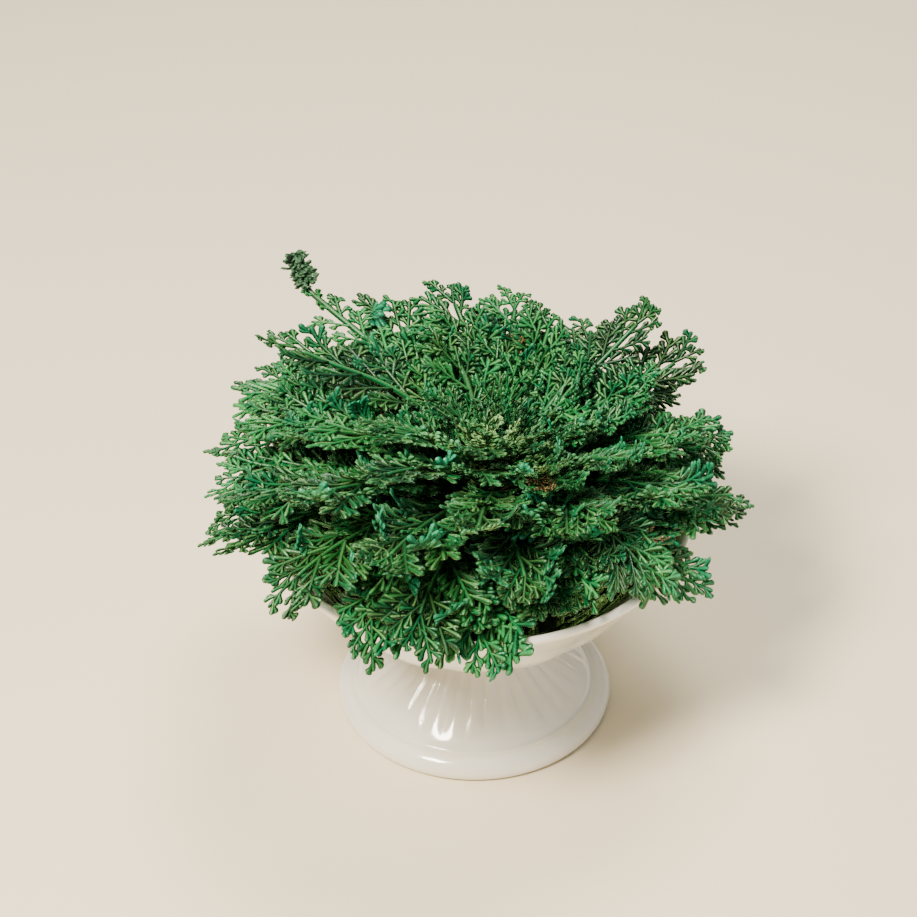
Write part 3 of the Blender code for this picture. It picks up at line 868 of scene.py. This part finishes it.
def layFrond(name, plan, material):
    # all stems of a frond laid on its sheet and joined in one mesh, with where each point lies on its stem
    points, places, tints, faces, first = [], [], [], [], 0
    for part in frondParts(plan):
        shape = part["path"].shape[:2]
        half, reach, age = (np.broadcast_to(part[key], shape) for key in ("half", "reach", "age"))
        rings, place = stripTubes(part["path"], part["normal"], half, reach, age)
        # tint: red is the strength of the painted highlight on the ridge, green is the tone that painted
        # shade darkens, blue is how far it is rolled up
        tint = np.ones(rings.shape[:3] + (4,))
        tint[..., 0] = part["ridgeHighlight"][:, None, None]
        tint[..., 1] = part["tone"][:, None, None]
        tint[..., 2] = part["rolled"][..., None]
        points.append(onBlade(plan, curlEnd(plan, rings)).reshape(-1, 3))
        places.append(place.reshape(-1, 3))
        tints.append(tint.reshape(-1, 4))
        faces += tubeFaces(*shape, first)
        first += shape[0] * shape[1] * 3
    frond = addPiece(name, np.vstack(points) + bowlAxis, faces, material)
    kept = frond.data.attributes
    kept.new("place", "FLOAT_VECTOR", "POINT").data.foreach_set("vector", np.vstack(places).ravel())
    kept.new("tint", "FLOAT_COLOR", "POINT").data.foreach_set("color", np.vstack(tints).ravel())
    return frond


def makeFronds():
    green, dried = spikemoss("spikemossGreen"), spikemoss("driedSpikemoss")
    fronds = []
    for index in range(canopy["count"]):
        name = f"frond_{index + 1:02d}"
        fronds.append(layFrond("leafy_" + name, frondPlan(index), green))
        fitPiece(fronds[-1], "frond_green", name)
    print("fronds made:", triangleCount(fronds), "triangles")
    for family, form in fillFronds.items():
        material = dried if family == "dryFrond" else green
        between = [layFrond(f"{family}_{k + 1:02d}", fillPlan(family, k), material)
                   for k in range(form["count"])]
        for frond in between:
            fitPiece(frond, "frond_green")
        print(family, "made:", triangleCount(between), "triangles")


# Water in the bowl, and the root crown that stands in it

pool = {
    "level": 74.5 * mm,
    "hole": 20.5 * mm,
    "clear": 0.1 * mm,        # from the glaze
    "meniscus": 0.7 * mm,
    "meniscusWidth": 1.2 * mm,
    "rings": 40,
    "steps": 160,
    "colour": "#dfeee4",
}


def stillWater():
    # still water: clear, a faint green from the plant, with a slow swell of about 25 mm that breaks up its
    # reflections
    clear = {"IOR": 1.333, "Roughness": 0.02, "Transmission Weight": 1.0,
             "Base Color": linearColour(pool["colour"])}
    material, tree, shader = newMaterial("stillWater", clear)
    place = addNode(tree, "ShaderNodeTexCoord").outputs["Object"]
    swell = addNode(tree, "ShaderNodeTexNoise", inputs={"Vector": place, "Scale": 40.0, "Detail": 1.0})
    bump = addNode(tree, "ShaderNodeBump",
                   inputs={"Strength": 0.1, "Distance": 0.002, "Height": swell.outputs["Fac"]})
    tree.links.new(bump.outputs["Normal"], shader.inputs["Normal"])
    return material


def makeWater():
    # a ring of water: flat on top with a meniscus that rises as exp(-distance from the glaze), and below it
    # follows the bowl's inside
    inside = cutCorners(np.array(bowlForm["inside"] + bowlForm["outside"]) * mm, bowlForm["smoothing"])
    inside = inside[:np.argmax(inside[:, 1])]
    shore = np.interp(pool["level"] - pool["clear"], inside[:, 1], inside[:, 0]) - pool["clear"]
    out = pool["hole"] + (shore - pool["hole"]) * np.linspace(0.0, 1.0, pool["rings"]) ** 0.5
    top = pool["level"] + pool["meniscus"] * np.exp((out - shore) / pool["meniscusWidth"])
    bed = np.interp(out, inside[:, 0], inside[:, 1]) + pool["clear"]
    loop = np.vstack((np.stack((out, top), axis=-1), np.stack((out[:-1], bed[:-1]), axis=-1)[::-1]))
    grid = turnedGrid(loop, pool["steps"])
    rows, steps = grid.shape[:2]
    row, step = np.meshgrid(np.arange(rows), np.arange(steps), indexing="ij")
    below, after = (row + 1) % rows, (step + 1) % steps
    quads = np.stack((row * steps + step, below * steps + step,
                      below * steps + after, row * steps + after), axis=-1).reshape(-1, 4)
    water = addPiece("stillPool", grid.reshape(-1, 3) + bowlAxis, quads.tolist(), stillWater())
    fitPiece(water, "water", "water")


rootstock = {
    "profile": ((17.0, 75.0), (16.2, 66.0), (17.5, 54.8), (14.4, 48.3), (11.6, 46.8), (0.0, 46.8)),
    "neck": (12.2, 84.5),
    "bottom": 46.8 * mm,
    "steps": 160,
    "scales": (13, 21),       # spirals of old leaf scales, one way round and the other
    "scaleHeight": 0.35 * mm,
    "scaleTwist": (14.0, 22.0),
    "ridges": 8,
    "ridgeHeight": 0.9 * mm,
    "ridgeTwist": 3.0,
    "roots": 44,
    "rootHalf": 0.75 * mm,
    "rootSpan": (0.10, 0.85), # where roots start, and how far down they go, as shares of the height
    "rootStations": 16,
    "rootWaves": (3.0, 7.0),
    "rootSway": 0.25,
    "rootSpread": 0.3,
    "rootTaper": 0.6,
    "unevenRoot": (0.7, 1.2),
    "bark": ("#2c1a0e", "#6d4a2a"),
    "crownGreen": "#16301b",
    "greenFrom": (80.0 * mm, 90.0 * mm),
}


def rootBark():
    # fibrous brown root bark, dull and ridged, with paler worn fibres of about 4 mm, green at the top
    material, tree, shader = newMaterial("rootBark", {"Roughness": 0.85})
    place = addNode(tree, "ShaderNodeTexCoord").outputs["Object"]
    grain = addNode(tree, "ShaderNodeTexNoise", inputs={"Vector": place, "Scale": 260.0, "Detail": 4.0})
    dark, worn = rootstock["bark"]
    tone = addNode(tree, "ShaderNodeValToRGB", {"stops": ((0.3, dark), (0.7, worn))},
                   {"Fac": grain.outputs["Fac"]})
    height = addNode(tree, "ShaderNodeSeparateXYZ", inputs={"Vector": place}).outputs["Z"]
    brownUpTo, greenFrom = rootstock["greenFrom"]
    living = addNode(tree, "ShaderNodeMapRange",
                     inputs={"Value": height, "From Min": brownUpTo, "From Max": greenFrom})
    colour = addNode(tree, "ShaderNodeMix", {"data_type": "RGBA"},
                     {"Factor": living.outputs["Result"], "A": tone.outputs["Color"],
                      "B": linearColour(rootstock["crownGreen"])})
    bump = addNode(tree, "ShaderNodeBump",
                   inputs={"Strength": 0.7, "Distance": 0.0008, "Height": grain.outputs["Fac"]})
    tree.links.new(colour.outputs["Result"], shader.inputs["Base Color"])
    tree.links.new(bump.outputs["Normal"], shader.inputs["Normal"])
    return material


def makeRootstock():
    # a dome turned round the axis, radius + two crossing spirals of scales and, lower down, wide ridges of
    # grown-together roots; single roots wander down over it
    form = rootstock
    crownTop, crownRadius = canopy["crownHeight"], canopy["crownRadius"]
    turn = np.radians(np.linspace(0.0, 90.0, 12))
    dome = np.stack((crownRadius * np.sin(turn), crownTop + crownRadius * np.cos(turn)), axis=-1)
    profile = cutCorners(np.vstack((dome, np.array((form["neck"],) + form["profile"]) * mm)),
                         bowlForm["smoothing"])

    def ridges(angle, down):
        low = np.clip(4.0 * down, 0.0, 1.0)
        return form["ridgeHeight"] * low * np.cos(form["ridges"] * angle + form["ridgeTwist"] * down)

    grid = turnedGrid(profile, form["steps"])
    angle = np.arange(form["steps"]) * 2.0 * np.pi / form["steps"]
    radius, height = profile[:, :1], profile[:, 1:]
    down = (crownTop - height) / (crownTop - form["bottom"])
    (oneWay, otherWay), (twist, otherTwist) = form["scales"], form["scaleTwist"]
    scales = np.cos(oneWay * angle + twist * down) * np.cos(otherWay * angle - otherTwist * down)
    relief = form["scaleHeight"] * scales * (radius > 3.0 * mm)
    relief = relief + ridges(angle, down) * (height > form["bottom"] + 0.5 * mm)
    grid[..., :2] *= (1.0 + relief / np.maximum(radius, mm))[..., None]
    points, faces = closedTurning(grid)

    draw = np.random.default_rng(spray["seed"])
    share = np.linspace(0.0, 1.0, form["rootStations"])[None]
    start = np.arange(form["roots"])[:, None] * canopy["goldenAngle"]
    highest, span = form["rootSpan"]
    rootDown = highest + span * share + 0.0 * start
    rootHeight = crownTop - rootDown * (crownTop - form["bottom"])
    waves = draw.uniform(*form["rootWaves"], start.shape)
    rootAngle = start + form["rootSway"] * np.sin(waves * share + start)
    rootAngle = rootAngle + draw.normal(0.0, form["rootSpread"], start.shape) * share
    side = profile[(profile[:, 1] < crownTop) & (profile[:, 0] > 0.6 * crownRadius)][::-1]
    rootRadius = np.interp(rootHeight, side[:, 1], side[:, 0]) + ridges(rootAngle, rootDown)
    outwards = np.stack((np.cos(rootAngle), np.sin(rootAngle), 0.0 * rootAngle), axis=-1)
    path = rootRadius[..., None] * outwards
    path[..., 2] = rootHeight
    half = form["rootHalf"] * (1.0 - form["rootTaper"] * share)
    half = half * draw.uniform(*form["unevenRoot"], start.shape)
    rings, _ = stripTubes(path, outwards, half, 0.0 * half, 0.0 * half)
    faces = faces + tubeFaces(*path.shape[:2], len(points))
    points = np.vstack((points, rings.reshape(-1, 3)))
    moved = unevenCanopy(*points.T)
    moved[:, 2] = np.maximum(moved[:, 2], form["bottom"])
    crown = addPiece("rootstock", moved + bowlAxis, faces, rootBark())
    fitPiece(crown, "root_bark", "root_crown")


makeCamera()
makeStudio()
makeBowl()
makeFronds()
makeWater()
makeRootstock()
print("water and rootstock made")
